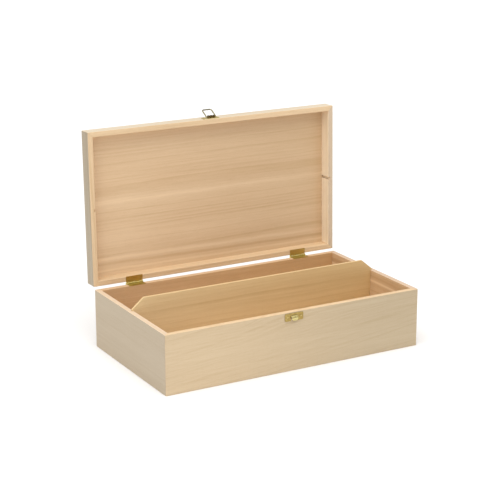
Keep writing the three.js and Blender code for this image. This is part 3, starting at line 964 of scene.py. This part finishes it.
def wire_along(name, points):
    """A round wire along points in the XZ plane."""
    turns = [math.tau * k / WIRE_SIDES for k in range(WIRE_SIDES)]
    depth = Vector((0, 1, 0))
    rings = []
    for i, point in enumerate(points):
        along = heading(points, i)
        across = Vector((along.z, 0, -along.x))
        spokes = [across * math.cos(turn) + depth * math.sin(turn) for turn in turns]
        rings.append([point + spoke * WIRE_RADIUS for spoke in spokes])
    bm = bmesh.new()
    loft(bm, rings)
    return piece_from(name, bm)


def bail_route():
    """The bail's centre line: two feet that turn in the barrel, two legs and a bar."""
    half, length = BAIL_HALF_WIDTH, BAIL_LENGTH
    corners = [(BAIL_END, 0), (half, 0), (half, length), (-half, length), (-half, 0), (-BAIL_END, 0)]
    radii = [0, BAIL_FOOT, BAIL_CORNER, BAIL_CORNER, BAIL_FOOT, 0]
    return [Vector((x, 0, z)) for x, z in rounded(corners, radii, WIRE_CORNER_STEPS)]


def clasp_sheet(name, size, foot, thickness):
    """A round-cornered plate that stands on the XZ plane from foot up and looks to -Y."""
    half, top = size[0] / 2, foot + size[1]
    corners = [(-half, foot), (half, foot), (half, top), (-half, top)]
    outline = rounded(corners, [CLASP_CORNER] * 4, PLATE_CORNER_STEPS)
    piece = plate(name, outline, thickness, SHEET_SOFTNESS)
    piece.data.transform(Matrix.Rotation(math.pi / 2, 4, "X"))
    return piece


def tongue_line():
    """The tongue's middle line in (y, z): a cubic curve out of the plate, then straight to the tip."""
    bend = [Vector((-out, -CATCH_TOP - below)) for out, below in TONGUE_BEND]
    line = []
    for k in range(TONGUE_STEPS + 1):
        t = k / TONGUE_STEPS
        weights = ((1 - t) ** 3, 3 * t * (1 - t) ** 2, 3 * t * t * (1 - t), t ** 3)
        line.append(sum((p * w for p, w in zip(bend, weights)), Vector((0, 0))))
    start, tip = line[-1], Vector((-TONGUE_TIP_OUT, -TONGUE_TIP))
    quarter = math.pi / 2 / TONGUE_STEPS
    return line + [start.lerp(tip, math.sin(quarter * k)) for k in range(1, TONGUE_STEPS + 1)]


def tongue():
    """The catch's tongue: a strip bent out of the plate, round at its tip."""
    line = tongue_line()
    rings = []
    for i, point in enumerate(line):
        along = heading(line, i)
        normal = Vector((along.y, -along.x)) * (CATCH_THICKNESS / 2)
        left = max(TONGUE_TIP_RADIUS - (point.y + TONGUE_TIP), 0)
        inset = TONGUE_TIP_RADIUS - math.sqrt(max(TONGUE_TIP_RADIUS ** 2 - left ** 2, 0))
        half = max(TONGUE_HALF - inset, TONGUE_TIP_HALF)
        corners = [(-half, -1), (half, -1), (half, 1), (-half, 1)]
        section = rounded(corners, [TONGUE_SOFTNESS] * 4, TONGUE_CORNER_STEPS)
        rings.append([(x, point.x + normal.x * n, point.y + normal.y * n) for x, n in section])
    bm = bmesh.new()
    loft(bm, rings)
    return piece_from("tongue", bm)


def build_hasp(place, metal):
    """The lid's plate with the rolled barrel that the bail turns in."""
    hasp = clasp_sheet("clasp_hasp_plate", CLASP_PLATE_SIZE, CLASP_PLATE_FOOT, CLASP_PLATE_THICKNESS)
    near, far = BARREL_SLOTS
    spans = [(-BARREL_HALF, -far), (-near, near), (far, BARREL_HALF)]
    knuckles = [barrel(*span, BAIL_BORE, BARREL_RADIUS) for span in spans]
    for knuckle in knuckles:
        knuckle.data.transform(Matrix.Translation((0, -BARREL_OFFSET, BARREL_HEIGHT)))
    combine(hasp, knuckles, "UNION")
    hasp.data.transform(OPEN @ place)
    hand_over(hasp, metal, "lid", "clasp_plate")


def build_bail(axis_place, metal):
    """The wire loop at its rest angle, out from the lid's front face."""
    wire = wire_along("clasp_wire_bail", bail_route())
    wire.data.transform(OPEN @ in_mm(axis_place) @ Matrix.Rotation(BAIL_REST, 4, "X"))
    hand_over(wire, metal, "bail", "clasp_bail")


def build_catch(place, metal):
    """The base's plate with its tongue bent out of a window that is open below."""
    foot = -CATCH_TOP - CATCH_SIZE[1]
    catch = clasp_sheet("clasp_catch_plate", CATCH_SIZE, foot, CATCH_THICKNESS)
    low = (-WINDOW_HALF, -CATCH_THICKNESS - OVERCUT, foot - OVERCUT)
    window = block("window", low, (WINDOW_HALF, OVERCUT, -WINDOW_TOP))
    combine(catch, [window], "DIFFERENCE")
    combine(catch, [tongue()], "UNION")
    catch.data.transform(place)
    hand_over(catch, metal, "base", "clasp_catch")


def build_clasp_nails(part, body, matrix, out, metal):
    """The two nails of a clasp plate, their heads' rims this far out from the wood."""
    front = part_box("base_front_wall")[0].y
    for side in ("left", "right"):
        node = f"clasp_{part}_nail_{side}"
        low, high = box_with(matrix, node)
        place = in_mm(((low.x + high.x) / 2, front - out * MM, (low.z + high.z) / 2))
        piece = nail(f"clasp_{part}_brad_{side}", CLASP_NAIL_LENGTH, 0, NAIL_HEAD_HEIGHT)
        piece.data.transform(Matrix.Rotation(math.pi / 2, 4, "X"))
        piece.data.transform(matrix.inverted() @ place)
        hand_over(piece, metal, body, node)


def build_clasp():
    """The clasp. Its middle across the front is where the bail's axis has it."""
    axis_place = SHUT @ Vector(joint("bail_swing")["pos_m"])
    place = in_mm((axis_place.x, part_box("base_front_wall")[0].y, HINGE.z))
    hasp_metal, catch_metal = hasp_brass(), catch_brass()
    build_hasp(place, hasp_metal)
    build_bail(axis_place, brass("wire_brass", GREY_WIRE, crevice=0.6))
    build_catch(place, catch_metal)
    out = CLASP_PLATE_THICKNESS + NAIL_CLEARANCE
    build_clasp_nails("plate", "lid", SHUT, out, hasp_metal)
    build_clasp_nails("catch", "base", Matrix(), CATCH_THICKNESS + NAIL_CLEARANCE, catch_metal)


# ---------------------------------------------------------------- stage, light and camera

CAMERA_LENS = 110.02
CAMERA_SENSOR = 36
CAMERA_REACH = 100
CAMERA_PLACE = (-0.8948, -1.5626, 0.6526)
CAMERA_AZIMUTH = math.radians(-29.539)
CAMERA_ELEVATION = math.radians(16.341)

FLOOR_HALF = 30.0
FLOOR_DROP = 0.1 * MM
FLOOR_TONES = ((0.9, 0.9, 0.9, 1), (0.93, 0.93, 0.93, 1))
FLOOR_ROUGHNESS = 0.9
FLOOR_CLOUDS = ((3.0, 3.0, 3.0), 2.0)  # waves per metre, detail

WHITE = (1, 1, 1, 1)
WORLD_STRENGTH = 0.62
ROOM_DIRECTION = Vector((-0.35, -0.85, 0.4)).normalized()
ROOM_EDGE = (0.2, 0.8)
ROOM_TONE = (0.4, 0.38, 0.34, 1)
SUN_AZIMUTH = math.radians(-40)
SUN_ELEVATION = math.radians(68)
SUN_SPREAD = math.radians(70)
SUN_STRENGTH = 2.3


def make_camera():
    """The photo's view of the box."""
    data = bpy.data.cameras.new("camera")
    data.lens = CAMERA_LENS
    data.sensor_width = CAMERA_SENSOR
    data.clip_end = CAMERA_REACH
    camera = bpy.data.objects.new("camera", data)
    camera.location = CAMERA_PLACE
    camera.rotation_euler = (math.pi / 2 - CAMERA_ELEVATION, 0, CAMERA_AZIMUTH)
    bpy.context.scene.collection.objects.link(camera)
    bpy.context.scene.camera = camera


def make_floor():
    """A wide white floor just under the box."""
    bm = bmesh.new()
    corners = [(-1, -1), (1, -1), (1, 1), (-1, 1)]
    bm.faces.new([bm.verts.new((x * FLOOR_HALF, y * FLOOR_HALF, -FLOOR_DROP)) for x, y in corners])
    floor = piece_from("floor", bm)
    recipe = material_recipe("floor_white")
    point = recipe.add("TexCoord", {}).outputs["Object"]
    colour = recipe.mix(recipe.noise(point, *FLOOR_CLOUDS), *FLOOR_TONES)
    shader = recipe.add("BsdfPrincipled", {"Base Color": colour, "Roughness": FLOOR_ROUGHNESS})
    floor.data.materials.append(recipe.finish(shader))


def make_sun():
    """One wide, soft light from above. Azimuth 0 is the front, and 90 degrees the right."""
    data = bpy.data.lights.new("overhead", "SUN")
    data.energy = SUN_STRENGTH
    data.angle = SUN_SPREAD
    light = bpy.data.objects.new("overhead", data)
    light.rotation_euler = (math.pi / 2 - SUN_ELEVATION, 0, SUN_AZIMUTH)
    bpy.context.scene.collection.objects.link(light)


def make_world():
    """Even white light all round. In reflections only, the room in front of the box is darker."""
    recipe = Recipe(bpy.data.worlds.new("studio"))
    direction = recipe.add("TexCoord", {}).outputs["Generated"]
    facing = recipe.dot(direction, ROOM_DIRECTION)
    room = recipe.mix(recipe.ease(facing, *ROOM_EDGE), WHITE, ROOM_TONE)
    plain = recipe.add("Background", {"Color": WHITE, "Strength": WORLD_STRENGTH})
    mirrored = recipe.add("Background", {"Color": room, "Strength": WORLD_STRENGTH})
    glossy = recipe.add("LightPath", {}).outputs["Is Glossy Ray"]
    shader = recipe.add("MixShader", {0: glossy, 1: plain.outputs[0], 2: mirrored.outputs[0]})
    bpy.context.scene.world = recipe.finish(shader, "OutputWorld")


# ---------------------------------------------------------------- the whole


def main():
    make_camera()
    make_floor()
    make_world()
    make_sun()
    bpy.context.scene.view_settings.view_transform = "Standard"
    finish_walls(*build_walls())
    finish_panels()
    build_divider()
    build_hinges(brass("hinge_brass", PALE_BRASS, crevice=0.3, tarnish_start=0.5, dullness=0.34))
    build_clasp()


main()
